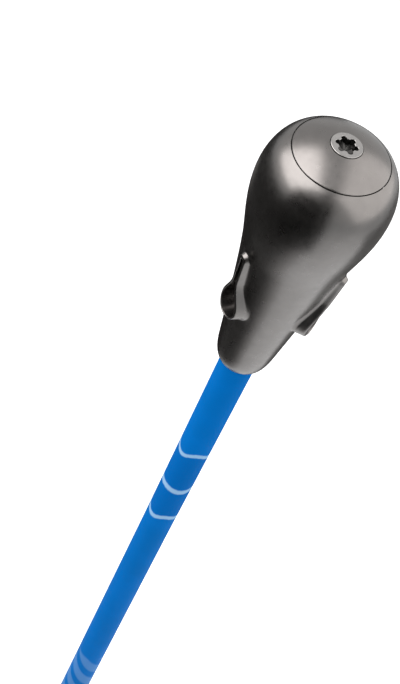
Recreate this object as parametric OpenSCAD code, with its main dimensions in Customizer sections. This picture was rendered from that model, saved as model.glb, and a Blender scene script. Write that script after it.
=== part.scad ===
// Weighted swing-training stick: a pear-shaped metal head on a golf shaft with a rubber grip.
// Millimetres. The stick stands on its butt, +Z runs up the shaft to the head, and the origin
// is the centre of the butt face.

/* [Overall] */
// Length from the butt face to the top of the dome
overall_length = 1130; // [1000:5:1200]

/* [Head] */
// Length of the head, neck edge to dome top
head_length = 78.4; // [78:0.1:80]
// Diameter of the head at its widest
head_d = 31.2; // [30:0.2:34]
// Diameter of the neck where its straight taper starts
neck_d = 15.6; // [15:0.2:16.4]
// Diameter of the seam round the domed end cap
seam_d = 21.6; // [21.6:0.1:22]
// Radius of the dome, end cap and shoulder alike
dome_r = 20; // [19:0.5:22]
// Radial gap that shows as the seam line
seam_gap = 0.2; // [0.1:0.05:0.3]
// Depth that the shaft is glued into the neck
socket_depth = 33; // [28:1:33]

/* [Scoops] */
// Number of scoops round the head
scoop_count = 3; // [2:1:3]
// Direction of the first scoop, degrees from +X
scoop_start = -12; // [-60:1:60]
// Height of the nose end above the neck edge
scoop_nose_s = 45.6; // [45:0.2:47]
// Height of the wide end above the neck edge
scoop_wide_s = 23; // [22:0.2:24]
// Height where a scoop starts to widen from its narrow nose
scoop_flare_s = 36.6; // [34:0.2:41]
// Height over the centre of the wide end where it is full width
scoop_flare_end = 0.4; // [0.2:0.1:1.5]
// Radius of the narrow nose in plan
scoop_nose_r = 1.4; // [1.3:0.1:1.8]
// Radius of the wide end in plan
scoop_wide_r = 3.7; // [3.4:0.1:4.4]
// Thickness of the lip round the recess
scoop_lip = 1.1; // [0.7:0.1:1.2]
// Distance of the lip from the axis at the nose
lip_nose_r = 13.9; // [13.7:0.1:14.2]
// Distance of the lip from the axis at the wide end
lip_wide_r = 12.3; // [12:0.1:12.6]
// Distance of the recess floor from the axis at the wide end
floor_wide_r = 7.4; // [7:0.1:9.4]

/* [Shaft] */
// Diameter of the parallel tip
tip_d = 9.4; // [9.2:0.1:9.4]
// Diameter at the butt
butt_d = 15.2; // [14.8:0.1:15.4]
// Length of the parallel tip that shows below the head
tip_length = 94; // [60:1:120]
// Wall at the tip
tip_wall = 1.9; // [1.6:0.1:2.1]
// Wall at the butt
butt_wall = 0.9; // [0.8:0.1:1.2]

/* [Grip] */
// Length of the grip
grip_length = 267; // [250:1:280]
// Largest diameter, near the butt
grip_butt_d = 26.6; // [26:0.2:28]
// Diameter just behind the mouth lip
grip_mouth_d = 17.2; // [17:0.2:18]
// Thickness of the tape under the grip
tape = 0.2; // [0.15:0.05:0.25]
// Diameter of the air hole in the butt
vent_d = 3; // [2:0.5:4]

/* [Weights] */
// Number of weight discs on the screw
disc_count = 3; // [1:1:3]
// Height of one disc
disc_h = 6.6; // [5:0.2:6.6]
// Diameter of a disc
disc_d = 13.4; // [12:0.2:13.4]
// Diameter of the screw's shank
screw_d = 5; // [4.6:0.1:5]
// Diameter of the screw's low flat head
screw_head_d = 7; // [6.8:0.1:7.2]

/* [Hidden] */
$fn = 96;
steps = 10;                                   // points on each curved stretch of an outline
over = 1;                                     // how far a cut runs past what it cuts

neck_z = overall_length - head_length;
head_r = head_d / 2;
neck_r = neck_d / 2;
seam_r = seam_d / 2;
tip_r = tip_d / 2;
butt_r = butt_d / 2;
bulge = head_r - neck_r;
dome_rise = dome_r - sqrt(dome_r * dome_r - seam_r * seam_r);
seam_s = head_length - dome_rise;             // heights marked _s are above the neck edge
widest_s = 63.5;
taper_s = 8;

bond = 0.25;                                  // glue line between shaft and neck
abraded = 0.05;                               // paint sanded off the glued end of the shaft
glued_r = tip_r - abraded;
socket_r = glued_r + bond;
chamber_r = 7.8;
chamber_s = 41;
chamber_top_s = 68.4;
spigot_r = 9.2;
spigot_gap = 0.2;
spigot_s = 68.6;
flange_s = 73.2;
flange_gap = 0.2;

seal_section = 1.2;                           // cord diameter of the O-ring
seal_s = 70.9;
seal_groove_r = 8.1;
seal_clear = 0.05;

screw_r = screw_d / 2;
screw_head_r = screw_head_d / 2;
screw_fit = 0.06;                             // running fit of the screw in its thread insert
screw_tip_s = 34.8;                           // 6.2 mm of thread in the insert
screw_head_h = 2.2;
screw_head_drop = 0.1;                        // flat head below the dome's highest point
screw_bevel = 0.12;                           // bevel round the head
seat_s = head_length - screw_head_h - 0.25;   // underside of the screw's head
thread_pitch = 0.8;
thread_crests = 7;
thread_depth = 0.45;
drive_r = 1.85;                               // six-lobe drive recess, 5.1 mm across its lobes
drive_lobe_r = 0.63;
drive_lobe_at = 1.92;
drive_turn = 8;                               // direction of a lobe with the screw tight
drive_depth = 1.7;
washer_h = 0.5;
clip_s = 42.4;
clip_h = 0.7;
clip_r = 4.6;
clip_groove = 0.5;
insert_r = 3.6;
insert_s = 34.6;

pad_h = 1.2;
sleeve_wall = 0.6;
sleeve_gap = 0.3;
stack_s = clip_s + clip_h + pad_h;            // underside of the lowest disc
disc_gap = 0.1;
spring_wire = 0.7;
spring_r = 4.6;                               // middle of the wire to the axis
spring_turns = 3.5;
pin_r = 0.75;
pin_at = 10.1;                                // index pin's distance from the axis
pin_set = 2;                                  // depth that the pin is pressed into the head
pin_h = 3.2;

plug_h = 6;
cap_h = 5;                                    // thickness of the grip's closed end
taper_start_z = neck_z - tip_length;
shaft_bottom_z = cap_h;

// Shaft radius at height z: parallel tip, then a straight taper to the butt
function shaft_r(z) = z > taper_start_z ? tip_r
    : tip_r + (butt_r - tip_r) * (taper_start_z - z) / (taper_start_z - shaft_bottom_z);

// Point at t on the cubic curve with the four given control points
function cubic(a, b, c, d, t) =
    pow(1 - t, 3) * a + 3 * pow(1 - t, 2) * t * b + 3 * (1 - t) * t * t * c + pow(t, 3) * d;
function curve(a, b, c, d) = [for (i = [1 : steps]) cubic(a, b, c, d, i / steps)];

// Outline of the head from the neck edge to the seam, as [radius, height]
function head_outline() = concat(
    [[socket_r + 0.2, 0]],
    curve([socket_r + 0.2, 0], [neck_r - 0.9, 0.6], [neck_r - 0.4, 4.6], [neck_r, taper_s]),
    curve([neck_r, taper_s], [neck_r + 0.23 * bulge, 23], [neck_r + 0.436 * bulge, 37.5],
          [neck_r + 0.654 * bulge, 46.5]),
    curve([neck_r + 0.654 * bulge, 46.5], [neck_r + 0.833 * bulge, 53.2], [head_r, 57.8],
          [head_r, widest_s]),
    curve([head_r, widest_s], [head_r, 69.5], [seam_r + 2.8, seam_s - 1.9],
          [seam_r + seam_gap, seam_s - 0.1]));

// Half width of a scoop at height s, its walls moved in by inset
scoop_nose_c = scoop_nose_s - scoop_nose_r;
scoop_wide_c = scoop_wide_s + scoop_wide_r;
function ease(t) = t * t * (3 - 2 * t);
scoop_full_s = scoop_wide_c + scoop_flare_end;
function flare(s) = ease(min(1, max(0, (scoop_flare_s - s) / (scoop_flare_s - scoop_full_s))));
function scoop_w(s, inset) = scoop_nose_r - inset + (scoop_wide_r - scoop_nose_r) * flare(s);

// Closed plan of a scoop, as [height, half width] up one side and down the other
function scoop_side(inset) = concat(
    [for (i = [0 : steps]) scoop_wide_c - (scoop_wide_r - inset) * cos(90 * i / steps)],
    [for (i = [1 : steps - 1]) scoop_wide_c + (scoop_nose_c - scoop_wide_c) * i / steps],
    [for (i = [0 : 4]) scoop_nose_c + (scoop_nose_r - inset) * sin(22.5 * i)]);
function scoop_half(s, inset) =
    s < scoop_wide_c ? sqrt(max(0, pow(scoop_wide_r - inset, 2) - pow(s - scoop_wide_c, 2)))
    : s > scoop_nose_c ? sqrt(max(0, pow(scoop_nose_r - inset, 2) - pow(s - scoop_nose_c, 2)))
    : scoop_w(s, inset);
function scoop_plan(inset) = let (side = scoop_side(inset), last = len(side) - 1) concat(
    [for (s = side) [s, scoop_half(s, inset)]],
    [for (i = [last - 1 : -1 : 1]) [side[i], -scoop_half(side[i], inset)]]);

// Distance of the lip and of the recess floor from the axis at height s
function lip_r(s) = lip_wide_r
    + (lip_nose_r - lip_wide_r) * (s - scoop_wide_s) / (scoop_nose_s - scoop_wide_s);
function floor_r(s) = floor_wide_r
    + (lip_nose_r - 0.6 - floor_wide_r) * (s - scoop_wide_s) / (scoop_nose_s - scoop_wide_s);

// Plan of a scoop stood up facing +X and run outward from the axis
module scoop_prism(inset, from_r, to_r) {
    translate([from_r, 0, 0])
        rotate([0, 90, 0])
            linear_extrude(height = to_r - from_r)
                polygon([for (p = scoop_plan(inset)) [-p[0], p[1]]]);
}

// Solid of revolution that fills everything inside the lip line
module lip_solid() {
    low = scoop_wide_s - over;
    high = scoop_nose_s + over;
    rotate_extrude()
        polygon([[0, low], [lip_r(low), low], [lip_r(high), high], [0, high]]);
}

// Solid of revolution outside the recess floor
module above_floor() {
    low = scoop_wide_s - over;
    high = scoop_nose_s + over;
    rotate_extrude()
        polygon([[floor_r(low), low], [head_r + 4, low], [head_r + 4, high], [floor_r(high), high]]);
}

module scoops_raised() {
    for (i = [0 : scoop_count - 1])
        rotate(scoop_start + 120 * i)
            intersection() {
                scoop_prism(0, socket_r + 2, head_r);
                lip_solid();
            }
}

module scoops_hollow() {
    for (i = [0 : scoop_count - 1])
        rotate(scoop_start + 120 * i)
            intersection() {
                scoop_prism(scoop_lip, socket_r + 2, head_r + 2);
                above_floor();
            }
}

module bore(r, from_s, to_s) {
    translate([0, 0, from_s]) cylinder(r = r, h = to_s - from_s);
}

// Ball whose top is the dome
module dome_ball() {
    translate([0, 0, head_length - dome_r]) sphere(r = dome_r, $fn = 128);
}

module head_shell() {
    color("dimgray")
        translate([0, 0, neck_z])
            difference() {
                union() {
                    rotate_extrude()
                        polygon(concat([[0, 0]], head_outline(), [[0, seam_s - 0.1]]));
                    scoops_raised();
                }
                scoops_hollow();
                bore(socket_r, -over, insert_s - 1);
                bore(screw_r + 0.6, insert_s - 1 - over, chamber_s);
                bore(insert_r, insert_s, chamber_s + over);
                bore(chamber_r, chamber_s, chamber_top_s + over);
                bore(spigot_r + spigot_gap, chamber_top_s, flange_s + over);
                bore(seam_r + seam_gap, flange_s, seam_s + over);
                on_scoop_line() translate([pin_at, 0, flange_s - pin_set])
                    cylinder(r = pin_r, h = pin_set + over);
            }
}

// Turns a piece to the centre line of the first scoop, the plane that mirrors the whole stick
module on_scoop_line() {
    rotate(scoop_start) children();
}

// Domed cap: flange under the dome, spigot with the seal groove, hole and seat for the screw
module end_cap() {
    color("gray")
        translate([0, 0, neck_z])
            difference() {
                union() {
                    intersection() {
                        bore(seam_r, flange_s + flange_gap, head_length);
                        dome_ball();
                    }
                    bore(spigot_r, spigot_s, flange_s + flange_gap);
                }
                bore(screw_r + 0.25, spigot_s - over, head_length);
                bore(screw_head_r + 0.08, seat_s - washer_h, head_length + over);
                translate([0, 0, seal_s - seal_section * 0.6])
                    difference() {
                        cylinder(r = spigot_r + over, h = seal_section * 1.2);
                        translate([0, 0, -over])
                            cylinder(r = seal_groove_r, h = seal_section * 1.2 + 2 * over);
                    }
                on_scoop_line()
                    translate([pin_at, 0, flange_s - over]) cylinder(r = pin_r + 0.25, h = over + 1.4);
            }
}

module cap_seal() {
    mid_r = spigot_r + spigot_gap - seal_clear - seal_section / 2;
    color("black")
        translate([0, 0, neck_z + seal_s])
            rotate_extrude()
                translate([mid_r, 0]) circle(r = seal_section / 2, $fn = 32);
}

// Screw: low flat head with a six-lobe drive, plain shank, clip groove, thread crests
module cap_screw() {
    top_s = head_length - screw_head_drop;
    thread_s = screw_tip_s + thread_pitch * (thread_crests + 1);
    color("silver")
        translate([0, 0, neck_z])
            difference() {
                union() {
                    bore(screw_head_r, seat_s, top_s - screw_bevel);
                    translate([0, 0, top_s - screw_bevel])
                        cylinder(r1 = screw_head_r, r2 = screw_head_r - screw_bevel, h = screw_bevel);
                    bore(screw_r, screw_tip_s, seat_s);
                }
                rotate(drive_turn)
                    translate([0, 0, top_s - drive_depth]) six_lobe(drive_depth + over);
                ring_groove(screw_r - clip_groove, clip_s, clip_h);
                for (i = [1 : thread_crests])
                    thread_groove(thread_s - i * thread_pitch);
            }
}

module six_lobe(h) {
    linear_extrude(height = h)
        union() {
            circle(r = drive_r);
            for (i = [0 : 5])
                rotate(60 * i)
                    translate([drive_lobe_at, 0])
                        circle(r = drive_lobe_r, $fn = 24);
        }
}

module ring_groove(r, s, h) {
    translate([0, 0, s])
        difference() {
            cylinder(r = screw_r + over, h = h);
            translate([0, 0, -over]) cylinder(r = r, h = h + 2 * over);
        }
}

module thread_groove(s) {
    half = thread_pitch * 0.42;
    rotate_extrude()
        polygon([[screw_r - thread_depth, s], [screw_r + 0.1, s - half], [screw_r + 0.1, s + half]]);
}

module flat_ring(outer_r, inner_r, s, h) {
    translate([0, 0, neck_z + s])
        difference() {
            cylinder(r = outer_r, h = h);
            translate([0, 0, -over]) cylinder(r = inner_r, h = h + 2 * over);
        }
}

module screw_washer() {
    color("white")
        flat_ring(screw_head_r - 0.05, screw_r + 0.1, seat_s - washer_h, washer_h);
}

// Open retaining clip that keeps the stack on the screw
module screw_clip() {
    slot_w = 2 * (screw_r - clip_groove) - 0.6;
    color("darkgray")
        difference() {
            flat_ring(clip_r, screw_r - clip_groove, clip_s, clip_h);
            on_scoop_line()
                translate([0, -slot_w / 2, neck_z + clip_s - over])
                    cube([clip_r + over, slot_w, clip_h + 2 * over]);
        }
}

module index_pin() {
    color("silver")
        on_scoop_line()
            translate([pin_at, 0, neck_z + flange_s - pin_set]) cylinder(r = pin_r, h = pin_h);
}

module weight_disc(i) {
    edge = 0.4;
    outer_r = disc_d / 2;
    inner_r = screw_r + 0.2;
    color("slategray")
        translate([0, 0, neck_z + stack_s + i * (disc_h + disc_gap)])
            rotate_extrude()
                polygon([[inner_r, 0], [outer_r - edge, 0], [outer_r, edge], [outer_r, disc_h - edge],
                         [outer_r - edge, disc_h], [inner_r, disc_h]]);
}

module weight_sleeve() {
    outer_r = chamber_r - sleeve_gap;
    color("ivory")
        flat_ring(outer_r, outer_r - sleeve_wall, stack_s, disc_count * (disc_h + disc_gap));
}

// Point on the swept wire: turned by a round the coil and by b round the wire
function coil_point(a, b, climb) =
    [(spring_r + spring_wire / 2 * cos(b)) * cos(a), (spring_r + spring_wire / 2 * cos(b)) * sin(a),
     climb + spring_wire / 2 * sin(b)];

// Share of the coil's rise at share t of its length: close end turns, open ones between
function coil_climb(t) = (ease(0.08 + 0.84 * t) - ease(0.08)) / (ease(0.92) - ease(0.08));

// Compression spring between the top disc and the cap, one wire swept along its coil
module weight_spring() {
    low_s = stack_s + disc_count * (disc_h + disc_gap);
    rise = spigot_s - low_s - spring_wire;
    sides = 8;
    rings_per_turn = 24;
    last = spring_turns * rings_per_turn;
    points = [for (i = [0 : last]) for (k = [0 : sides - 1])
        coil_point(360 * i / rings_per_turn, 360 * k / sides, rise * coil_climb(i / last))];
    walls = [for (i = [0 : last - 1]) for (k = [0 : sides - 1]) let (n = (k + 1) % sides)
        [i * sides + k, i * sides + n, (i + 1) * sides + n, (i + 1) * sides + k]];
    ends = [[for (k = [sides - 1 : -1 : 0]) k], [for (k = [0 : sides - 1]) last * sides + k]];
    color("silver")
        translate([0, 0, neck_z + low_s + spring_wire / 2])
            polyhedron(points, concat(walls, ends));
}

module weight_pad() {
    color("black")
        flat_ring(disc_d / 2, screw_r + 0.2, clip_s + clip_h, pad_h);
}

module thread_insert() {
    flange = 0.4;
    color("goldenrod")
        translate([0, 0, neck_z])
            difference() {
                bore(insert_r, insert_s, chamber_s);
                bore(screw_r + screw_fit, insert_s - over, chamber_s + over);
                for (s = [insert_s + 1.4 : 1.6 : chamber_s - 1.4])
                    translate([0, 0, s])
                        difference() {
                            cylinder(r = insert_r + over, h = flange);
                            translate([0, 0, -over]) cylinder(r = insert_r - 0.3, h = flange + 2 * over);
                        }
            }
}

module neck_bond() {
    color("khaki")
        flat_ring(socket_r, glued_r, 0.5, socket_depth - 0.5);
}

module tip_plug() {
    color("tan")
        translate([0, 0, neck_z + socket_depth - plug_h])
            cylinder(r = tip_r - tip_wall, h = plug_h);
}

// Tapered tube; its bore follows the taper with a wall that thins towards the butt
module shaft() {
    top_z = neck_z + socket_depth;
    color("dodgerblue")
        rotate_extrude()
            polygon([[butt_r - butt_wall, shaft_bottom_z], [butt_r, shaft_bottom_z],
                     [tip_r, taper_start_z], [tip_r, neck_z + 0.2], [glued_r, neck_z + 0.2],
                     [glued_r, top_z - 0.4], [glued_r - 0.4, top_z], [tip_r - tip_wall, top_z],
                     [tip_r - tip_wall, taper_start_z]]);
}

module grip_tape() {
    low_z = cap_h;
    high_z = grip_length - 4;
    color("wheat")
        rotate_extrude()
            polygon([[shaft_r(low_z), low_z], [shaft_r(low_z) + tape, low_z],
                     [shaft_r(high_z) + tape, high_z], [shaft_r(high_z), high_z]]);
}

// Grip outline from the cap joint to the mouth lip
function grip_outline() = concat(
    [[grip_butt_d / 2 - 0.1, cap_h]],
    curve([grip_butt_d / 2 - 0.1, cap_h], [grip_butt_d / 2 + 0.1, 12], [grip_butt_d / 2 - 0.2, 20],
          [grip_butt_d / 2 - 0.8, 34]),
    curve([grip_butt_d / 2 - 0.8, 34], [grip_butt_d / 2 - 2, 62], [grip_mouth_d / 2 + 1.5, 150],
          [grip_mouth_d / 2, grip_length - 4]),
    [[grip_mouth_d / 2 + 0.5, grip_length - 3.4], [grip_mouth_d / 2 + 0.5, grip_length - 1],
     [grip_mouth_d / 2 - 0.1, grip_length]]);

module grip() {
    color("black")
        rotate_extrude()
            polygon(concat(
                [[shaft_r(cap_h) + tape, cap_h]],
                grip_outline(),
                [[shaft_r(grip_length), grip_length], [shaft_r(grip_length - 4), grip_length - 4],
                 [shaft_r(grip_length - 4) + tape, grip_length - 4]]));
}

// Closed end of the grip: flat rest face, rounded rim, air hole
module grip_cap() {
    rim = 2.2;
    outer_r = grip_butt_d / 2 - 0.1;
    color("black")
        difference() {
            rotate_extrude()
                polygon(concat(
                    [[0, 0]],
                    [for (i = [0 : 6]) [outer_r - rim + rim * sin(15 * i), rim - rim * cos(15 * i)]],
                    [[outer_r, cap_h], [0, cap_h]]));
            translate([0, 0, -over]) cylinder(r = vent_d / 2, h = cap_h + 2 * over);
        }
}

head_shell();
end_cap();
cap_seal();
cap_screw();
screw_washer();
screw_clip();
index_pin();
weight_disc(0);  // weight_disc_1
weight_disc(1);  // weight_disc_2
weight_disc(2);  // weight_disc_3
weight_sleeve();
weight_spring();
weight_pad();
thread_insert();
neck_bond();
tip_plug();
shaft();
grip_tape();
grip();
grip_cap();
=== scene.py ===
"""Looks of the weighted swing-training stick: pear-shaped metal head, blue shaft, rubber grip.

Shapes are worked out in millimetres. Heights named _s are measured up from the neck edge of the
head, the rest from the butt. place() turns them into the frame's metres.
"""

import math

import bpy
import numpy as np
from mathutils import Matrix, Vector


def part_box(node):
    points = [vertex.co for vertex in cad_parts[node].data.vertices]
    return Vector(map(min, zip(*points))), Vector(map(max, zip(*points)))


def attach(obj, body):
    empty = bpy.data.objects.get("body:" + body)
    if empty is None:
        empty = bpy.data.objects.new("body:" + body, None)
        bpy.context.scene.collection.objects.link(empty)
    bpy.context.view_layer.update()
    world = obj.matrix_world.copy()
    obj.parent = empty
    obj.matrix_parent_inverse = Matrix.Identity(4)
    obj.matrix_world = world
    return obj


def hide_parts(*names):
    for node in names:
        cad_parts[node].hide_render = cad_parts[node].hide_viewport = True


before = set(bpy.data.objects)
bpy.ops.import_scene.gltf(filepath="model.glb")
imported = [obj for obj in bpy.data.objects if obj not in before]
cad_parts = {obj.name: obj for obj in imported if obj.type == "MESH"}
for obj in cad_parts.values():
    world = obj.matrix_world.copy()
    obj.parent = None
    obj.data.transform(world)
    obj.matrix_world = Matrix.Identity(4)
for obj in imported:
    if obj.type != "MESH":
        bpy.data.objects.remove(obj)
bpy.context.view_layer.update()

MM = 0.001
BUTT = 0.0
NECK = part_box("head_shell")[0].z / MM          # height of the neck edge above the butt


# ---------------------------------------------------------------- sizes, millimetres

HEAD_R = (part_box("head_shell")[1].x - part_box("head_shell")[0].x) / 2 / MM
SCREW_HEAD_R = 3.5
SCREW_HOLE_R = 3.58
DOME_R = 20.0
HOLE_DROP = DOME_R - math.sqrt(DOME_R ** 2 - SCREW_HOLE_R ** 2)
# the cap's box ends at the edge of its screw hole, a little below the dome's own top
HEAD_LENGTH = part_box("end_cap")[1].z / MM - NECK + HOLE_DROP
NECK_R = 7.8
TAPER_S = 8.0
WIDEST_S = 63.5
SEAM_R = 10.8
SEAM_GAP = 0.2
SEAM_S = HEAD_LENGTH - (DOME_R - math.sqrt(DOME_R ** 2 - SEAM_R ** 2))

SOCKET_R = 4.9
SOCKET_TOP = 33.6
SCREW_PASS_R = 3.1
INSERT_R = 3.6
INSERT_S = 34.6
CHAMBER_R = 7.8
CHAMBER_S = 41.0
CHAMBER_TOP = 68.4
SPIGOT_R = 9.2
SPIGOT_GAP = 0.2
SPIGOT_S = 68.6
SEAL_GROOVE_S = 70.9
SEAL_GROOVE_HALF = 0.72
SEAL_GROOVE_DEPTH = 1.1
FLANGE_S = 73.2
FLANGE_GAP = 0.2

SCOOP_COUNT = 3
SCOOP_START = -12.0                            # direction of the first scoop, degrees from +X
LIP_NOSE = (45.3, 13.95)                       # [height, distance from the axis] of the crest line
LIP_WIDE = (23.9, 12.3)
FLOOR_WIDE_R = 7.4
FLOOR_NOSE_R = LIP_NOSE[1] - 0.5
FLARE_S = 36.6                                 # where a scoop starts to widen from its nose
FLARE_HOLD = 0.4                               # full width lasts this far past the wide arc's centre
# rings that a scoop's skin follows, each with the plan [nose height, foot height, nose radius,
# wide radius] and a last number that says how high the ring lies
SCOOP_FOOT = (47.7, 22.6, 2.8, 4.95)
SCOOP_WALL = (                                 # last: share of the way from the body to the lip
    (47.1, 22.65, 2.4, 4.72, 0.04), (46.6, 22.7, 2.05, 4.5, 0.12), (46.2, 22.75, 1.75, 4.32, 0.22),
    (46.0, 22.85, 1.62, 4.25, 0.33), (45.85, 22.92, 1.5, 4.08, 0.51), (45.65, 23.0, 1.36, 3.9, 0.74),
    (45.5, 23.1, 1.22, 3.74, 0.94))
SCOOP_LIP = (                                  # last: rise above the lip's crest line
    (45.35, 23.25, 1.1, 3.6, 0.06), (45.0, 23.45, 0.86, 3.38, 0.1), (44.7, 23.6, 0.66, 3.2, 0.1),
    (44.5, 23.72, 0.54, 3.08, 0.04))
SCOOP_POCKET = (                               # last: share of the way from the lip to the floor
    (44.4, 23.82, 0.48, 3.0, 0.3), (44.35, 23.9, 0.45, 2.95, 0.8), (44.0, 24.3, 0.3, 2.5, 1.0))
WINDOW_S = (17.0, 51.8)                        # the window that each scoop's skin fills
WINDOW_HALF = math.radians(47)
WINDOW_ALONG, WINDOW_ACROSS, WINDOW_GAP = 40, 24, 8     # steps up it, across it, and to the next one

SCREW_R = 2.5
SCREW_CLEAR = 0.25                             # between the screw and the cap's bore
SCREW_TOP_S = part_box("cap_screw")[1].z / MM - NECK
SCREW_BEVEL = 0.06
SEAT_S = HEAD_LENGTH - 2.45                    # underside of the screw's head
WASHER_H = 0.5
SCREW_TIP_S = 34.8
DRIVE_R = 1.85
DRIVE_LOBE_R = 0.63
DRIVE_LOBE_AT = 1.92
DRIVE_TURN = 8.0                               # direction of a lobe with the screw tight
DRIVE_DEPTH = 1.7
THREAD_PITCH = 0.8
THREAD_TOP_S = 41.2
THREAD_DEPTH = 0.45
CLIP_S = 42.4
CLIP_H = 0.7
CLIP_GROOVE = 0.5

TIP_R = 4.7
BUTT_R = 7.6
TIP_WALL = 1.9
BUTT_WALL = 0.9
TAPER_START = NECK - 94.0
CAP_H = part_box("grip_cap")[1].z / MM
GRIP_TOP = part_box("grip")[1].z / MM
GRIP_BUTT_R = 13.3
GRIP_MOUTH_R = 8.6
GRIP_LIP = 0.5                                 # rise of the rolled lip at the grip's mouth
TAPE = 0.2
VENT_R = 1.5
PATTERN_COUNT = 12                             # slanted grooves round the grip, each way
PATTERN_LEAD = 2 * math.pi / 60                # their turn for each millimetre up
PATTERN_DEPTH = 0.38
PATTERN_ENDS = (26, GRIP_TOP - 26)
PLAIN_BAND = (138, 8)                          # [middle, half height] of the band without a pattern
GRIP_RINGS = (20, 23.2, 132, 144, GRIP_TOP - 22, GRIP_TOP - 18.5)

# painted rings: [distance below the neck edge, half width, swing of the wave]
RINGS = ((45.5, 0.95, 1.2), (66.0, 1.3, -0.15), (83.7, 1.15, 1.1))
RING_WAVES = 3
RING_PHASE = math.radians(195)
BARS_FROM, BARS_TO = 203.0, 285.0              # slanted bars, distances below the neck edge
BARS_FADE = 2.0
BAR_PITCH = 14.0
BAR_STARTS = 3                                 # bars side by side round the shaft, for their slant


# ---------------------------------------------------------------- outlines and meshes

def cubic(a, b, c, d, steps):
    """Points along a cubic curve with the four given control points, without its first point."""
    a, b, c, d = (np.array(p, float) for p in (a, b, c, d))
    t = (np.arange(1, steps + 1) / steps)[:, None]
    return (1 - t) ** 3 * a + 3 * (1 - t) ** 2 * t * b + 3 * (1 - t) * t * t * c + t ** 3 * d


def rounded(corners, steps=4):
    """A closed outline from corners [radius, height, fillet], each fillet turned into a short arc."""
    points = []
    for i, (r, s, fillet) in enumerate(corners):
        here = np.array((r, s))
        if fillet <= 0:
            points.append(here)
            continue
        back = np.array(corners[i - 1][:2]) - here
        ahead = np.array(corners[(i + 1) % len(corners)][:2]) - here
        cut = min(fillet, 0.45 * np.linalg.norm(back), 0.45 * np.linalg.norm(ahead))
        start = here + back / np.linalg.norm(back) * cut
        end = here + ahead / np.linalg.norm(ahead) * cut
        for t in np.linspace(0, 1, steps + 1):
            points.append((1 - t) ** 2 * start + 2 * (1 - t) * t * here + t * t * end)
    return np.array(points)


def ease(t):
    """0 up to t = 0, 1 from t = 1 on, and a smooth step between."""
    t = np.clip(t, 0, 1)
    return t * t * (3 - 2 * t)


def place(points, base=NECK):
    """Millimetre points with heights above base, as metres in the frame."""
    return (np.asarray(points, float) + np.array((0, 0, base))) * MM


def add_piece(name, points, faces, body, material, sharp=40, replaces=()):
    """A mesh piece that rides on a CAD body, smooth but for edges sharper than the given angle."""
    mesh = bpy.data.meshes.new(name)
    mesh.from_pydata([tuple(p) for p in points], [], faces)
    mesh.validate()
    mesh.shade_smooth()
    mesh.set_sharp_from_angle(angle=math.radians(sharp))
    mesh.materials.append(material)
    piece = bpy.data.objects.new(name, mesh)
    bpy.context.scene.collection.objects.link(piece)
    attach(piece, body)
    if replaces:
        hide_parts(*replaces)
    return piece


def band_faces(columns, first, second):
    """Quads between two rings of vertices that start at the given indices."""
    return [(first + i, first + (i + 1) % columns, second + (i + 1) % columns, second + i)
            for i in range(columns)]


def lathe(outline, columns=96):
    """A closed outline [radius, height], run anticlockwise with the radius to the right, turned
    round the axis. Points on the axis may only be its first and last."""
    outline = np.asarray(outline, float)
    turn = np.arange(columns) * 2 * math.pi / columns
    circle = np.stack([np.cos(turn), np.sin(turn)], 1)
    points, starts, faces = [], [], []
    for r, s in outline:
        starts.append(len(points))
        if r < 1e-6:
            points.append((0, 0, s))
        else:
            points.extend((r * x, r * y, s) for x, y in circle)
    pairs = list(zip(range(len(outline)), range(1, len(outline))))
    if outline[0][0] > 1e-6:
        pairs.append((len(outline) - 1, 0))
    for low, high in pairs:
        a, b = starts[low], starts[high]
        if outline[low][0] < 1e-6:
            faces += [(a, b + (i + 1) % columns, b + i) for i in range(columns)]
        elif outline[high][0] < 1e-6:
            faces += [(a + i, a + (i + 1) % columns, b) for i in range(columns)]
        else:
            faces += band_faces(columns, a, b)
    return np.array(points), faces


# ---------------------------------------------------------------- materials

class Nodes:
    """Short calls for building one material's node tree."""

    def __init__(self, name):
        self.material = bpy.data.materials.new(name)
        self.material.use_nodes = True
        self.tree = self.material.node_tree
        self.shader = self.tree.nodes["Principled BSDF"]
        self.coordinates = self.tree.nodes.new("ShaderNodeTexCoord").outputs["Object"]

    def add(self, kind, inputs=(), **settings):
        node = self.tree.nodes.new(kind)
        for key, value in settings.items():
            setattr(node, key, value)
        for socket, value in dict(inputs).items():
            self.join(value, node.inputs[socket])
        return node

    def join(self, value, socket):
        if isinstance(value, bpy.types.NodeSocket):
            self.tree.links.new(value, socket)
        else:
            socket.default_value = value

    def math(self, operation, a, b=0.0, c=0.0):
        return self.add("ShaderNodeMath", {0: a, 1: b, 2: c}, operation=operation).outputs[0]

    def noise(self, scale, detail=3.0, roughness=0.5, at=None):
        node = self.add("ShaderNodeTexNoise", {
            "Vector": at or self.coordinates, "Scale": scale, "Detail": detail, "Roughness": roughness})
        return node.outputs["Fac"]

    def span(self, value, low, high, to_low, to_high, smooth=False):
        node = self.add("ShaderNodeMapRange", {
            "Value": value, "From Min": low, "From Max": high, "To Min": to_low, "To Max": to_high},
            interpolation_type="SMOOTHSTEP" if smooth else "LINEAR")
        return node.outputs["Result"]

    def spread(self, noise, low, high):
        """The usual range of a noise, stretched to run from low to high."""
        return self.span(noise, 0.3, 0.7, low, high)

    def mix(self, share, a, b):
        node = self.add("ShaderNodeMix", {0: share, 6: a, 7: b}, data_type="RGBA")
        return node.outputs[2]

    def clouded(self, noise, a, b):
        return self.mix(self.spread(noise, 0.0, 1.0), a, b)

    def bump(self, height, strength, distance):
        inputs = {"Height": height, "Strength": strength, "Distance": distance}
        return self.add("ShaderNodeBump", inputs).outputs["Normal"]

    def set(self, **values):
        for key, value in values.items():
            self.join(value, self.shader.inputs[key.replace("_", " ").title().replace("Ior", "IOR")])


def rgb(r, g, b):
    """A linear colour with full alpha."""
    return (r, g, b, 1.0)


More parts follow.
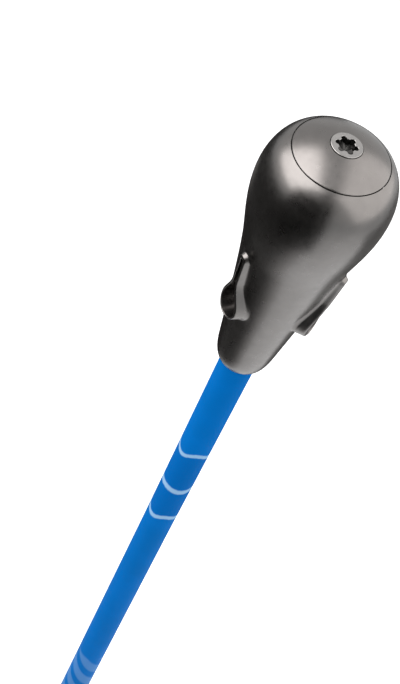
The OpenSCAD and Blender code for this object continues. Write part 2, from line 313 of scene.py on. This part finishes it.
def scaled(colour, factor):
    """A colour made brighter or darker by a factor."""
    return rgb(*(min(1.0, c * factor) for c in colour[:3]))


def satin_metal(name, colour, roughness, mottle=0.05, grain=0.02, painted_shade_below=None):
    """Blasted metal: fine grain in the bump, faint clouds in colour and roughness.
    Below a given height it is painted dark, to 0.22 of its colour: painted shade in the screw's drive
    recess and down its sides in the hole."""
    n = Nodes(name)
    clouds = n.noise(260.0, 4.0)
    fine = n.noise(4500.0, 1.0)
    tone = n.clouded(clouds, scaled(colour, 1 - mottle), scaled(colour, 1 + mottle))
    if painted_shade_below is not None:
        # painted shade: under the given height the colour is darkened, standing in for the shade inside
        # the drive recess and the screw hole
        z = n.add("ShaderNodeSeparateXYZ", {0: n.coordinates}).outputs[2]
        depth = n.span(z, (painted_shade_below - 0.25) * MM, painted_shade_below * MM, 1.0, 0.0, smooth=True)
        tone = n.mix(depth, tone, scaled(colour, 0.22))
    n.set(base_color=tone, metallic=1.0,
          roughness=n.spread(n.noise(700.0, 3.0), roughness - 0.03, roughness + 0.03),
          normal=n.bump(fine, grain, 0.00003))
    return n.material


def turned_metal(name, colour, roughness, pitch=0.00012):
    """Machined metal: fine tool rings along the axis and round it."""
    n = Nodes(name)
    parts = n.add("ShaderNodeSeparateXYZ", {0: n.coordinates})
    radius = n.math("SQRT", n.math("ADD", n.math("MULTIPLY", parts.outputs[0], parts.outputs[0]),
                                   n.math("MULTIPLY", parts.outputs[1], parts.outputs[1])))
    along = n.math("ADD", parts.outputs[2], radius)
    rings = n.math("SINE", n.math("MULTIPLY", along, 2 * math.pi / pitch))
    clouds = n.noise(500.0, 3.0)
    tone = n.clouded(clouds, scaled(colour, 0.92), scaled(colour, 1.06))
    n.set(base_color=tone, metallic=1.0,
          roughness=n.spread(clouds, roughness - 0.04, roughness + 0.05),
          normal=n.bump(rings, 0.25, 0.00001))
    return n.material


def moulded(name, colour, roughness, grain_scale, grain_depth, sheen=0.0):
    """Plastic, rubber or resin with a moulded grain and faint clouds of colour."""
    n = Nodes(name)
    clouds = n.noise(320.0, 4.0)
    grain = n.noise(grain_scale, 3.0, 0.6)
    tone = n.clouded(clouds, scaled(colour, 0.82), scaled(colour, 1.15))
    n.set(base_color=tone, roughness=n.spread(grain, roughness - 0.06, roughness + 0.06),
          sheen_weight=sheen, normal=n.bump(grain, 0.5, grain_depth))
    return n.material


def paper_tape(name):
    """Crepe paper tape: cross ribs and long fibres."""
    n = Nodes(name)
    stretch = n.add("ShaderNodeMapping", {"Vector": n.coordinates, "Scale": (1.0, 1.0, 9.0)})
    crepe = n.noise(420.0, 4.0, 0.65, at=stretch.outputs[0])
    fibres = n.noise(2400.0, 3.0, 0.7)
    tone = n.clouded(crepe, rgb(0.5, 0.4, 0.22), rgb(0.72, 0.62, 0.4))
    height = n.math("ADD", n.math("MULTIPLY", crepe, 0.8), n.math("MULTIPLY", fibres, 0.2))
    n.set(base_color=tone, roughness=n.spread(fibres, 0.7, 0.9), normal=n.bump(height, 0.6, 0.00015))
    return n.material


def shaft_paint(name):
    """Blue paint with three thin pale rings, waved or nearly straight, and slanted bars further
    down. Between the rings it is a little darker."""
    n = Nodes(name)
    parts = n.add("ShaderNodeSeparateXYZ", {0: n.coordinates})
    x, y, z = (parts.outputs[i] for i in range(3))
    angle = n.math("ARCTAN2", y, x)
    wave = n.math("COSINE", n.math("MULTIPLY_ADD", angle, RING_WAVES, RING_PHASE))
    rough_edge = n.spread(n.noise(900.0, 2.0), -0.12 * MM, 0.12 * MM)
    marks = 0.0
    for below, half, swing in RINGS:
        middle = n.math("MULTIPLY_ADD", wave, swing * MM, (NECK - below) * MM)
        off = n.math("ADD", n.math("ABSOLUTE", n.math("SUBTRACT", z, middle)), rough_edge)
        ring = n.span(off, half * 0.5 * MM, half * 1.3 * MM, 0.85, 0.0, smooth=True)
        marks = n.math("MAXIMUM", marks, ring)

    bars_top, bars_end = NECK - BARS_FROM, NECK - BARS_TO
    below_top = n.span(z, (bars_top - BARS_FADE) * MM, bars_top * MM, 1.0, 0.0)
    above_end = n.span(z, bars_end * MM, (bars_end + BARS_FADE) * MM, 0.0, 1.0)
    turns = n.math("MULTIPLY", angle, BAR_STARTS / (2 * math.pi))
    phase = n.math("FRACT", n.math("MULTIPLY_ADD", z, 1 / (BAR_PITCH * MM), turns))
    off = n.math("ABSOLUTE", n.math("SUBTRACT", phase, 0.5))
    bar = n.span(off, 0.2, 0.36, 0.22, 0.0, smooth=True)
    bars = n.math("MULTIPLY", bar, n.math("MULTIPLY", below_top, above_end))
    marks = n.math("MAXIMUM", marks, bars)

    first, last = NECK - RINGS[0][0], NECK - RINGS[2][0]
    between = n.math("MULTIPLY", n.span(z, last * MM, (last + 1) * MM, 0.0, 1.0),
                     n.span(z, (first - 1) * MM, first * MM, 1.0, 0.0))
    blue = n.clouded(n.noise(90.0, 3.0), rgb(0.0, 0.088, 0.3), rgb(0.0, 0.096, 0.335))
    blue = n.mix(n.math("MULTIPLY", between, 0.5), blue, rgb(0.0, 0.07, 0.26))
    n.set(base_color=n.mix(marks, blue, rgb(0.21, 0.35, 0.5)),
          roughness=n.spread(n.noise(6000.0, 1.0), 0.4, 0.48),
          specular_ior_level=0.02, ior=1.2, specular_tint=rgb(0.05, 0.45, 1.0),
          normal=n.bump(n.noise(600.0, 2.0), 0.12, 0.00004))
    return n.material


# ---------------------------------------------------------------- head shell

def body_outline(steps=60):
    """Outer outline of the head from the neck edge to the seam, as [radius, height]."""
    bulge = HEAD_R - NECK_R
    rim = (SOCKET_R + 0.2, 0.0)
    flare = (NECK_R + 0.654 * bulge, 46.5)
    edge = (SEAM_R + SEAM_GAP, SEAM_S - 0.1)
    return np.concatenate([
        [rim],
        cubic(rim, (NECK_R - 0.9, 0.6), (NECK_R - 0.4, 4.6), (NECK_R, TAPER_S), steps),
        cubic((NECK_R, TAPER_S), (NECK_R + 0.23 * bulge, 23), (NECK_R + 0.436 * bulge, 37.5), flare,
              steps),
        cubic(flare, (NECK_R + 0.833 * bulge, 53.2), (HEAD_R, 57.8), (HEAD_R, WIDEST_S), steps),
        cubic((HEAD_R, WIDEST_S), (HEAD_R, 69.5), (SEAM_R + 2.8, SEAM_S - 1.9), edge, steps)])


OUTLINE = body_outline()


def body_r(s):
    """Outer radius of the head without its scoops."""
    return np.interp(s, OUTLINE[:, 1], OUTLINE[:, 0])


def lip_r(s):
    """Distance of a scoop's crest line from the axis."""
    slope = (LIP_NOSE[1] - LIP_WIDE[1]) / (LIP_NOSE[0] - LIP_WIDE[0])
    return LIP_WIDE[1] + slope * (s - LIP_WIDE[0])


def floor_r(s):
    """Distance of a scoop's floor from the axis. It rises to just under the crest at the nose."""
    share = (s - LIP_WIDE[0]) / (LIP_NOSE[0] - LIP_WIDE[0])
    return FLOOR_WIDE_R + (FLOOR_NOSE_R - FLOOR_WIDE_R) * share


def scoop_plan(nose_s, wide_s, nose_r, wide_r, along, across):
    """Plan of a scoop as [height, sideways], clockwise from the left end of its nose: the nose arc
    and the wide arc in across steps each, the two sides in along steps each."""
    nose_c = nose_s - nose_r
    wide_c = wide_s + wide_r
    arc = np.arange(across) / across * math.pi
    share = np.arange(along) / along
    side_s = nose_c + (wide_c - nose_c) * share
    back_s = wide_c + (nose_c - wide_c) * share
    side_t, back_t = (
        nose_r + (wide_r - nose_r) * ease((FLARE_S - s) / (FLARE_S - wide_c - FLARE_HOLD))
        for s in (side_s, back_s))
    return np.concatenate([
        np.stack([nose_c + nose_r * np.sin(arc), -nose_r * np.cos(arc)], 1),
        np.stack([side_s, side_t], 1),
        np.stack([wide_c - wide_r * np.sin(arc), wide_r * np.cos(arc)], 1),
        np.stack([back_s, -back_t], 1)])


def spline_rings(rings, per_span):
    """Rings that follow a cubic B-spline through the control rings, from the first to the last."""
    control = np.concatenate([[2 * rings[0] - rings[1]], rings, [2 * rings[-1] - rings[-2]]])
    out = []
    for i in range(len(rings) - 1):
        a, b, c, d = control[i:i + 4]
        for u in np.arange(per_span) / per_span:
            out.append(((1 - u) ** 3 * a + (3 * u ** 3 - 6 * u * u + 4) * b
                        + (-3 * u ** 3 + 3 * u * u + 3 * u + 1) * c + u ** 3 * d) / 6)
    out.append(rings[-1])
    return out


def scoop_rings():
    """Rings of [height, angle, rise above the body] from the window's edge to the scoop's middle."""
    low, high = WINDOW_S
    along, across = WINDOW_ALONG, WINDOW_ACROSS
    share_a = np.arange(across) / across
    share_s = np.arange(along) / along
    edge = np.concatenate([
        np.stack([np.full(across, high), WINDOW_HALF * (2 * share_a - 1)], 1),
        np.stack([high + (low - high) * share_s, np.full(along, WINDOW_HALF)], 1),
        np.stack([np.full(across, low), WINDOW_HALF * (1 - 2 * share_a)], 1),
        np.stack([low + (high - low) * share_s, np.full(along, -WINDOW_HALF)], 1)])

    def ring(nose_s, wide_s, nose_r, wide_r, radius_at):
        plan = scoop_plan(nose_s, wide_s, nose_r, wide_r, along, across)
        radius = radius_at(plan[:, 0])
        angle = np.arcsin(plan[:, 1] / radius)
        return np.stack([plan[:, 0], angle, radius - body_r(plan[:, 0])], 1)

    def between(low, high, share):
        return lambda s: low(s) + (high(s) - low(s)) * share

    base = ring(*SCOOP_FOOT, body_r)
    window = np.concatenate([edge, np.zeros((len(edge), 1))], 1)
    middle = ring(LIP_NOSE[0] - 1.2, LIP_WIDE[0] + 1.2, 0.05, 0.05, floor_r)
    middle[:, 1] = 0
    middle[:, 0] = np.clip(middle[:, 0], LIP_WIDE[0] + 3.0, LIP_NOSE[0] - 2.4)
    middle[:, 2] = floor_r(middle[:, 0]) - body_r(middle[:, 0])
    rings = [window + (base - window) * share for share in (0, 0.5, 0.8, 1)]
    rings += [ring(*plan, between(body_r, lip_r, share)) for *plan, share in SCOOP_WALL]
    rings += [ring(*plan, lambda s: lip_r(s) + rise) for *plan, rise in SCOOP_LIP]
    rings += [ring(*plan, between(lip_r, floor_r, share)) for *plan, share in SCOOP_POCKET]
    rings.append(middle)
    return spline_rings(np.array(rings), 4)


def head_rows():
    """Rows of the turned body [radius, height], up the outside and down the bores, and the number
    of the row where the windows start."""
    low, high = WINDOW_S
    window = low + (high - low) * np.arange(WINDOW_ALONG + 1) / WINDOW_ALONG
    lower = OUTLINE[OUTLINE[:, 1] < low - 0.5][::6]
    upper = OUTLINE[OUTLINE[:, 1] > high + 0.5][::3]
    mouth_r = SEAM_R + SEAM_GAP
    spigot_r = SPIGOT_R + SPIGOT_GAP
    inside = rounded([
        (mouth_r, SEAM_S - 0.1, 0.12), (mouth_r, FLANGE_S, 0), (spigot_r, FLANGE_S, 0.2),
        (spigot_r, CHAMBER_TOP, 0), (CHAMBER_R, CHAMBER_TOP, 0.15), (CHAMBER_R, CHAMBER_S, 0),
        (INSERT_R, CHAMBER_S, 0), (INSERT_R, INSERT_S, 0), (SCREW_PASS_R, INSERT_S, 0),
        (SCREW_PASS_R, SOCKET_TOP, 0), (SOCKET_R, SOCKET_TOP, 0), (SOCKET_R, 0.3, 0)], steps=2)
    rows = np.concatenate([lower, np.stack([body_r(window), window], 1), upper[:-1], inside[1:]])
    return rows, len(lower)


def fill_window(points, faces, border, rings, turned):
    """Stitches rings, turned by an angle about the axis, one after another onto a border of
    vertices. The last ring folds flat, so its vertices that coincide become one."""
    previous = border
    for ring in rings:
        radius = body_r(ring[:, 0]) + ring[:, 2]
        angle = ring[:, 1] + turned
        spots = np.stack([radius * np.cos(angle), radius * np.sin(angle), ring[:, 0]], 1)
        current, known = [], {}
        for spot in spots:
            key = tuple(np.round(spot, 5))
            if ring is not rings[-1] or key not in known:
                known[key] = len(points)
                points.append(tuple(spot))
            current.append(known[key])
        for i, here in enumerate(previous):
            k = (i + 1) % len(previous)
            quad = tuple(dict.fromkeys((here, current[i], current[k], previous[k])))
            if len(quad) > 2:
                faces.append(quad)
        previous = current


def head_shell(material):
    """The pear-shaped shell: a turned body with a window cut for each scoop, and its bores."""
    along, across = WINDOW_ALONG, WINDOW_ACROSS
    rows, first = head_rows()
    pitch = 2 * math.pi / SCOOP_COUNT
    start = math.radians(SCOOP_START)
    steps = np.concatenate([
        -WINDOW_HALF + 2 * WINDOW_HALF * np.arange(across) / across,
        WINDOW_HALF + (pitch - 2 * WINDOW_HALF) * np.arange(WINDOW_GAP) / WINDOW_GAP])
    turn = np.concatenate([start + pitch * k + steps for k in range(SCOOP_COUNT)])
    columns = len(turn)
    points = [(r * math.cos(a), r * math.sin(a), s) for r, s in rows for a in turn]
    faces = []
    for j in range(len(rows)):
        quads = band_faces(columns, j * columns, (j + 1) % len(rows) * columns)
        if first <= j < first + along:
            quads = [quad for i, quad in enumerate(quads) if i % len(steps) >= across]
        faces += quads

    rings = scoop_rings()
    for scoop in range(SCOOP_COUNT):
        left = scoop * len(steps)
        right = left + across
        top, bottom = first + along, first
        border = ([top * columns + left + i for i in range(across)]
                  + [(top - i) * columns + right for i in range(along)]
                  + [bottom * columns + right - i for i in range(across)]
                  + [(bottom + i) * columns + left for i in range(along)])
        fill_window(points, faces, border, rings[1:], start + pitch * scoop)
    return add_piece("pear_head", place(points), faces, "stick", material,
                     sharp=50, replaces=["head_shell"])


# ---------------------------------------------------------------- cap, screw and spring

def dome_arc(from_r, to_r, steps):
    """Points on the dome's sphere between two radii, as [radius, height]."""
    r = np.linspace(from_r, to_r, steps + 1)
    return np.stack([r, HEAD_LENGTH - DOME_R + np.sqrt(DOME_R ** 2 - r * r)], 1)


def domed_cap(material):
    """The cap: spigot with its seal groove, flange, dome, and the screw's hole and seat."""
    flange_s = FLANGE_S + FLANGE_GAP
    rim = 0.14
    hole_edge = 0.06
    bore_r = SCREW_R + SCREW_CLEAR
    groove_r = SPIGOT_R - SEAL_GROOVE_DEPTH
    groove_low, groove_high = SEAL_GROOVE_S - SEAL_GROOVE_HALF, SEAL_GROOVE_S + SEAL_GROOVE_HALF
    seat_s = SEAT_S - WASHER_H
    dome = dome_arc(SEAM_R - rim, SCREW_HOLE_R + hole_edge, 28)
    flange = rounded([(SEAM_R, SEAM_S - 0.1, rim), (dome[0][0], dome[0][1], 0)], steps=3)[:4]
    outline = np.concatenate([
        rounded([(bore_r, SPIGOT_S, 0.1), (SPIGOT_R, SPIGOT_S, 0.3), (SPIGOT_R, groove_low, 0),
                 (groove_r, groove_low, 0), (groove_r, groove_high, 0), (SPIGOT_R, groove_high, 0),
                 (SPIGOT_R, flange_s, 0), (SEAM_R, flange_s, 0.1)]),
        [(SEAM_R, SEAM_S - 0.1 - rim)], flange[1:], dome,
        [(SCREW_HOLE_R, dome[-1][1] - hole_edge), (SCREW_HOLE_R, seat_s), (bore_r, seat_s)]])
    points, faces = lathe(outline, 144)
    return add_piece("domed_cap", place(points), faces, "cap_unit", material,
                     replaces=["end_cap"])


def drive_outline(angle):
    """Distance of the six-lobe recess's edge from the axis: a circle with six round lobes."""
    pitch = math.pi / 3
    off = (angle - math.radians(DRIVE_TURN) + pitch / 2) % pitch - pitch / 2
    reach = DRIVE_LOBE_R ** 2 - (DRIVE_LOBE_AT * np.sin(off)) ** 2
    lobe = np.where(reach > 0, DRIVE_LOBE_AT * np.cos(off) + np.sqrt(np.maximum(reach, 0)), 0)
    return np.maximum(lobe, DRIVE_R)


def drive_screw(material):
    """Screw with a low flat head, six-lobe recess, plain shank, clip groove and helical thread."""
    columns = 216
    angle = np.arange(columns) * 2 * math.pi / columns
    lobes = drive_outline(angle)
    steady = np.ones(columns)
    floor_s = SCREW_TOP_S - DRIVE_DEPTH
    edge = 0.05
    rings = [(0.2 * lobes, (floor_s - 0.25) * steady), (0.85 * lobes, floor_s * steady),
             (0.98 * lobes, (floor_s + 0.06) * steady), (lobes, (floor_s + 0.2) * steady),
             (lobes, (SCREW_TOP_S - edge) * steady), (lobes + edge, SCREW_TOP_S * steady)]
    flat_r = SCREW_HEAD_R - SCREW_BEVEL
    for share in (0.35, 0.7, 0.93, 1.0):
        rings.append((lobes + edge + (flat_r - lobes - edge) * share, SCREW_TOP_S * steady))
    groove_r = SCREW_R - CLIP_GROOVE
    clip_top = CLIP_S + CLIP_H
    for r, s in ((SCREW_HEAD_R, SCREW_TOP_S - SCREW_BEVEL), (SCREW_HEAD_R, SEAT_S + 0.15),
                 (SCREW_HEAD_R - 0.15, SEAT_S), (SCREW_R + 0.2, SEAT_S), (SCREW_R, SEAT_S - 0.2),
                 (SCREW_R, clip_top + 0.1), (SCREW_R, clip_top), (groove_r, clip_top),
                 (groove_r, CLIP_S), (SCREW_R, CLIP_S), (SCREW_R, THREAD_TOP_S + 0.4)):
        rings.append((r * steady, s * steady))
    for s in np.arange(THREAD_TOP_S, SCREW_TIP_S + 0.05, -0.1):
        phase = (s / THREAD_PITCH - angle / (2 * math.pi)) % 1.0
        tooth = 1 - np.abs(2 * phase - 1)
        fade = min(1.0, (THREAD_TOP_S - s) / THREAD_PITCH)
        taper = max(0.0, 0.5 - (s - SCREW_TIP_S)) * 0.9
        depth = THREAD_DEPTH * fade * np.clip(1.25 * tooth - 0.12, 0, 1)
        rings.append((SCREW_R - taper - depth, s * steady))
    rings.append(((SCREW_R - 0.9) * steady, SCREW_TIP_S * steady))
    points = [(0, 0, floor_s - 0.3)]
    for r, s in rings:
        points.extend(zip(r * np.cos(angle), r * np.sin(angle), s))
    faces = [(0, 1 + i, 1 + (i + 1) % columns) for i in range(columns)]
    for j in range(len(rings) - 1):
        faces += band_faces(columns, 1 + (j + 1) * columns, 1 + j * columns)
    last = len(points) - columns
    points.append((0, 0, SCREW_TIP_S))
    faces += [(last + (i + 1) % columns, last + i, len(points) - 1) for i in range(columns)]
    return add_piece("drive_screw", place(points), faces, "screw", material,
                     sharp=35, replaces=["cap_screw"])


def coil_spring(material):
    """Compression spring with close end turns and open ones between."""
    low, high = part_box("weight_spring")
    wire_r, coil_r = 0.35, 4.6
    turns, per_turn, sides = 3.5, 40, 12
    bottom = low.z / MM - NECK + wire_r
    rise = (high.z - low.z) / MM - 2 * wire_r
    count = int(turns * per_turn)
    share = np.arange(count + 1) / count
    climb = ease(0.08 + 0.84 * share)
    climb = (climb - climb[0]) / (climb[-1] - climb[0])
    turn = share * turns * 2 * math.pi
    points, faces = [], []
    slope = np.gradient(climb * rise, turn * coil_r)
    for a, up, tilt in zip(turn, bottom + climb * rise, slope):
        out = Vector((math.cos(a), math.sin(a), 0))
        ahead = Vector((-math.sin(a), math.cos(a), tilt)).normalized()
        side = ahead.cross(out).normalized()
        centre = out * coil_r + Vector((0, 0, up))
        for k in range(sides):
            b = 2 * math.pi * k / sides
            points.append(centre + (out * math.cos(b) + side * math.sin(b)) * wire_r)
    for j in range(count):
        faces += band_faces(sides, j * sides, (j + 1) * sides)
    faces.append(tuple(range(sides))[::-1])
    faces.append(tuple(count * sides + k for k in range(sides)))
    return add_piece("coil_spring", place(points), faces, "cap_unit", material,
                     sharp=60, replaces=["weight_spring"])


# ---------------------------------------------------------------- shaft and grip

def shaft_r(z):
    """Outer radius of the shaft: a straight taper, then the parallel tip."""
    share = np.clip((TAPER_START - z) / (TAPER_START - CAP_H), 0, 1)
    return float(TIP_R + (BUTT_R - TIP_R) * share)


def shaft_wall(z):
    """Wall thickness along the taper, thickest at the tip."""
    return BUTT_WALL + (TIP_WALL - BUTT_WALL) * (z - CAP_H) / (TAPER_START - CAP_H)


def painted_shaft(material):
    """Parallel tip, then a straight taper to the butt; the tip stands in the head's socket."""
    top = NECK + 33.0
    glued_r = TIP_R - 0.05
    rows = 24
    taper = CAP_H + (TAPER_START - CAP_H) * np.arange(rows + 1) / rows
    outside = [(shaft_r(z), z) for z in taper]
    inside = [(shaft_r(z) - shaft_wall(z), z) for z in taper]
    tip = [(TIP_R, z) for z in np.linspace(TAPER_START, NECK + 0.2, 6)[1:]]
    end = [(glued_r, NECK + 0.25), (glued_r, top - 0.4), (glued_r - 0.4, top),
           (TIP_R - TIP_WALL, top)]
    points, faces = lathe(np.array(outside + tip + end + inside[::-1]), 96)
    return add_piece("painted_shaft", place(points, BUTT), faces, "stick", material,
                     replaces=["shaft"])


GRIP_OUTLINE = np.concatenate([
    [(GRIP_BUTT_R - 0.1, CAP_H)],
    cubic((GRIP_BUTT_R - 0.1, CAP_H), (GRIP_BUTT_R + 0.1, 12), (GRIP_BUTT_R - 0.2, 20),
          (GRIP_BUTT_R - 0.8, 34), 12),
    cubic((GRIP_BUTT_R - 0.8, 34), (GRIP_BUTT_R - 2, 62), (GRIP_MOUTH_R + 1.5, 150),
          (GRIP_MOUTH_R, GRIP_TOP - 4), 40)])


def grip_r(z):
    """Outer radius of the grip before its moulded pattern."""
    return np.interp(z, GRIP_OUTLINE[:, 1], GRIP_OUTLINE[:, 0])


def grip_pattern(z, angle):
    """Depth of the moulded pattern: slanted grooves in diamonds, and plain bands with ring grooves."""
    grooves = np.zeros_like(angle)
    for hand in (1, -1):
        wave = np.cos(PATTERN_COUNT * (angle + hand * PATTERN_LEAD * z))
        grooves = np.maximum(grooves, ease((wave - 0.72) / 0.2))
    low, high = PATTERN_ENDS
    middle, half = PLAIN_BAND
    field = ease((z - low) / 3) * ease((high - z) / 3) * (1 - ease((half - abs(z - middle)) / 2))
    ring = max(float(ease((0.9 - abs(z - at)) / 0.7)) for at in GRIP_RINGS)
    return PATTERN_DEPTH * np.maximum(grooves * field, ring)


def rubber_grip(material):
    """Tapered grip with a moulded pattern, a rolled mouth lip and its bore."""
    columns, spacing = 168, 0.7
    angle = np.arange(columns) * 2 * math.pi / columns
    steady = np.ones(columns)
    neck, top = GRIP_TOP - 4, GRIP_TOP
    roll_r = GRIP_MOUTH_R + GRIP_LIP
    rings = [(grip_r(z) - grip_pattern(z, angle), z) for z in np.arange(CAP_H, neck, spacing)]
    rings += [(r * steady, z) for r, z in rounded([
        (GRIP_MOUTH_R, neck, 0.3), (roll_r, neck + 0.6, 0.4), (roll_r, top - 0.9, 0.5),
        (GRIP_MOUTH_R - 0.2, top, 0.3), (shaft_r(top), top, 0), (shaft_r(neck), neck, 0),
        (shaft_r(neck) + TAPE, neck, 0), (shaft_r(CAP_H) + TAPE, CAP_H, 0)])]
    points, faces = [], []
    for r, z in rings:
        points.extend(zip(r * np.cos(angle), r * np.sin(angle), np.full(columns, z)))
    for j in range(len(rings)):
        faces += band_faces(columns, j * columns, (j + 1) % len(rings) * columns)
    return add_piece("rubber_grip", place(points, BUTT), faces, "stick", material,
                     sharp=60, replaces=["grip"])


def grip_butt(material):
    """Closed end of the grip: rolled rim, shallow ring recess and the air hole."""
    outer = GRIP_BUTT_R - 0.1
    outline = rounded([
        (VENT_R, 0.0, 0.25), (outer - 5.0, 0.0, 0.3), (outer - 4.6, 0.5, 0.3), (outer - 4.0, 0.5, 0.3),
        (outer - 3.6, 0.0, 0.3), (outer, 0.0, 2.2), (outer, CAP_H, 0), (VENT_R, CAP_H, 0)], steps=6)
    points, faces = lathe(outline, 120)
    return add_piece("grip_butt", place(points, BUTT), faces, "stick", material,
                     replaces=["grip_cap"])


# ---------------------------------------------------------------- CAD nodes that keep their shape

def finish_cad_nodes():
    """Gives the CAD nodes that are shown as they are their materials."""
    looks = {
        "cap_seal": moulded("seal_rubber", rgb(0.02, 0.02, 0.021), 0.42, 2500.0, 0.00002),
        "screw_washer": moulded("nylon_washer", rgb(0.36, 0.35, 0.31), 0.45, 3000.0, 0.00002),
        "screw_clip": turned_metal("clip_steel", rgb(0.3, 0.3, 0.32), 0.35),
        "index_pin": turned_metal("pin_steel", rgb(0.6, 0.6, 0.6), 0.25),
        "weight_sleeve": moulded("sleeve_nylon", rgb(0.34, 0.32, 0.27), 0.5, 1800.0, 0.00003),
        "weight_pad": moulded("pad_rubber", rgb(0.03, 0.03, 0.03), 0.7, 2200.0, 0.00005),
        "thread_insert": turned_metal("insert_brass", rgb(0.72, 0.48, 0.18), 0.28),
        "neck_bond": moulded("cured_epoxy", rgb(0.08, 0.07, 0.05), 0.35, 900.0, 0.00004),
        "tip_plug": moulded("plug_cork", rgb(0.45, 0.3, 0.17), 0.85, 1300.0, 0.0001),
        "grip_tape": paper_tape("grip_tape_paper"),
    }
    discs = turned_metal("weight_steel", rgb(0.42, 0.42, 0.43), 0.3)
    for node in ("weight_disc_1", "weight_disc_2", "weight_disc_3"):
        looks[node] = discs
    for node, material in looks.items():
        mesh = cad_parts[node].data
        mesh.materials.clear()
        mesh.materials.append(material)


# ---------------------------------------------------------------- studio

def toward(azimuth, elevation, distance):
    """Offset in a direction: azimuth 0 is the camera's side, -Y, and 90 is +X."""
    a, e = math.radians(azimuth), math.radians(elevation)
    return Vector((math.sin(a) * math.cos(e), -math.cos(a) * math.cos(e), math.sin(e))) * distance


def add_camera():
    """Looks down on the head from just in front of it, rolled so that the shaft runs off low left."""
    azimuth, elevation, roll = -3.22, 52.31, math.radians(24.27)
    spot = Vector((0.0, -0.1930, NECK * MM + 0.2478))
    data = bpy.data.cameras.new("camera")
    data.lens = 65.16
    data.clip_start = 0.02
    camera = bpy.data.objects.new("camera", data)
    ahead = -toward(-azimuth, elevation, 1.0)
    level = ahead.to_track_quat("-Z", "Y").to_matrix().to_4x4()
    camera.matrix_world = Matrix.Translation(spot) @ level @ Matrix.Rotation(roll, 4, "Z")
    bpy.context.scene.collection.objects.link(camera)
    bpy.context.scene.camera = camera


def stage_sheet(name, size, spot, aim, colour, hidden=True):
    """A flat sheet that faces a point: the floor, or a flag that only shows in reflections."""
    w, h = size[0] / 2, size[1] / 2
    mesh = bpy.data.meshes.new(name)
    mesh.from_pydata([(-w, -h, 0), (w, -h, 0), (w, h, 0), (-w, h, 0)], [], [(0, 1, 2, 3)])
    sheet = bpy.data.objects.new(name, mesh)
    bpy.context.scene.collection.objects.link(sheet)
    sheet.location = spot
    sheet.rotation_mode = "QUATERNION"
    sheet.rotation_quaternion = (Vector(aim) - Vector(spot)).to_track_quat("Z", "Y")
    n = Nodes(name)
    n.set(base_color=colour, roughness=1.0, specular_ior_level=0.0)
    mesh.materials.append(n.material)
    if hidden:
        sheet.visible_camera = False
        sheet.visible_diffuse = False
        sheet.visible_shadow = False
    return sheet


def add_softbox(name, size, spot, aim, energy, colour):
    """A rectangular soft light that shows in reflections but not to the camera."""
    light = bpy.data.lights.new(name, "AREA")
    light.shape = "RECTANGLE"
    light.size, light.size_y = size
    light.energy = energy
    light.color = colour
    lamp = bpy.data.objects.new(name, light)
    bpy.context.scene.collection.objects.link(lamp)
    lamp.location = spot
    lamp.rotation_mode = "QUATERNION"
    lamp.rotation_quaternion = (Vector(aim) - Vector(spot)).to_track_quat("-Z", "Y")
    lamp.visible_camera = False


def floor_flag(name, size, azimuth, near, lift, colour):
    """A flag of [width, depth] on the floor, from near the stick outward in one direction."""
    sheet = stage_sheet(name, size, toward(azimuth, 0, near + size[1] / 2) + Vector((0, 0, lift)),
                        (0, 0, 9), colour)
    sheet.rotation_quaternion = Matrix.Rotation(math.radians(azimuth), 3, "Z").to_quaternion()


def add_studio():
    """Pale floor, a soft box on each side, and flags that put the dark bands on the head."""
    head = Vector((0, 0, (NECK + 45) * MM))
    black = rgb(0.01, 0.01, 0.01)
    stage_sheet("floor", (30.0, 30.0), (0, 0, 0), (0, 0, 1), rgb(0.875, 0.895, 0.91), hidden=False)
    key = head + toward(-74, 45, 1.0)
    side = head + toward(103, 34, 1.6)
    add_softbox("key_softbox", (1.3, 1.25), key, head, 23.0, (1.0, 0.955, 0.94))
    add_softbox("side_softbox", (3.4, 2.8), side, head, 52.0, (1.0, 0.95, 0.925))
    front = head + Vector((-0.1, -0.45, -0.15))
    stage_sheet("front_flag", (0.64, 0.95), front, front + Vector((0, 1, 0)), black)
    middle = head + toward(15, 42, 0.6)
    stage_sheet("middle_flag", (0.2, 0.5), middle, head, rgb(0.12, 0.12, 0.12))
    stage_sheet("back_flag", (1.1, 1.3), (-0.1, 0.95, 0.02), (-0.1, 0.95, 1), black)
    rear = head + toward(-155, -24, 1.2)
    stage_sheet("rear_flag", (0.9, 0.6), rear, head, black)
    floor_flag("left_flag", (8.0, 8.0), -65, 0.3, 0.01, rgb(0.035, 0.035, 0.035))
    floor_flag("left_grey_flag", (8.0, 0.2), -65, 0.12, 0.008, rgb(0.4, 0.4, 0.4))
    floor_flag("right_flag", (3.6, 2.0), 168, 0.46, 0.005, rgb(0.12, 0.12, 0.12))
    world = bpy.data.worlds.new("studio")
    world.use_nodes = True
    background = world.node_tree.nodes["Background"]
    background.inputs["Color"].default_value = rgb(1.0, 0.99, 0.98)
    background.inputs["Strength"].default_value = 1.0
    bpy.context.scene.world = world
    bpy.context.scene.view_settings.view_transform = "Standard"


# ---------------------------------------------------------------- build

add_camera()
add_studio()
head_shell(satin_metal("blasted_gunmetal", rgb(0.146, 0.141, 0.137), 0.3))
domed_cap(satin_metal("cap_gunmetal", rgb(0.15, 0.144, 0.14), 0.3))
# painted shade: the screw is darkened below its top face, inside the drive recess and down its sides
drive_screw(satin_metal("screw_steel", rgb(0.3, 0.295, 0.29), 0.32,
                        painted_shade_below=NECK + SCREW_TOP_S - 0.05))
coil_spring(turned_metal("spring_wire_steel", rgb(0.5, 0.5, 0.5), 0.3))
painted_shaft(shaft_paint("blue_paint"))
grip_rubber = moulded("grip_rubber", rgb(0.022, 0.022, 0.024), 0.6, 1700.0, 0.00008, sheen=0.1)
rubber_grip(grip_rubber)
grip_butt(grip_rubber)
finish_cad_nodes()
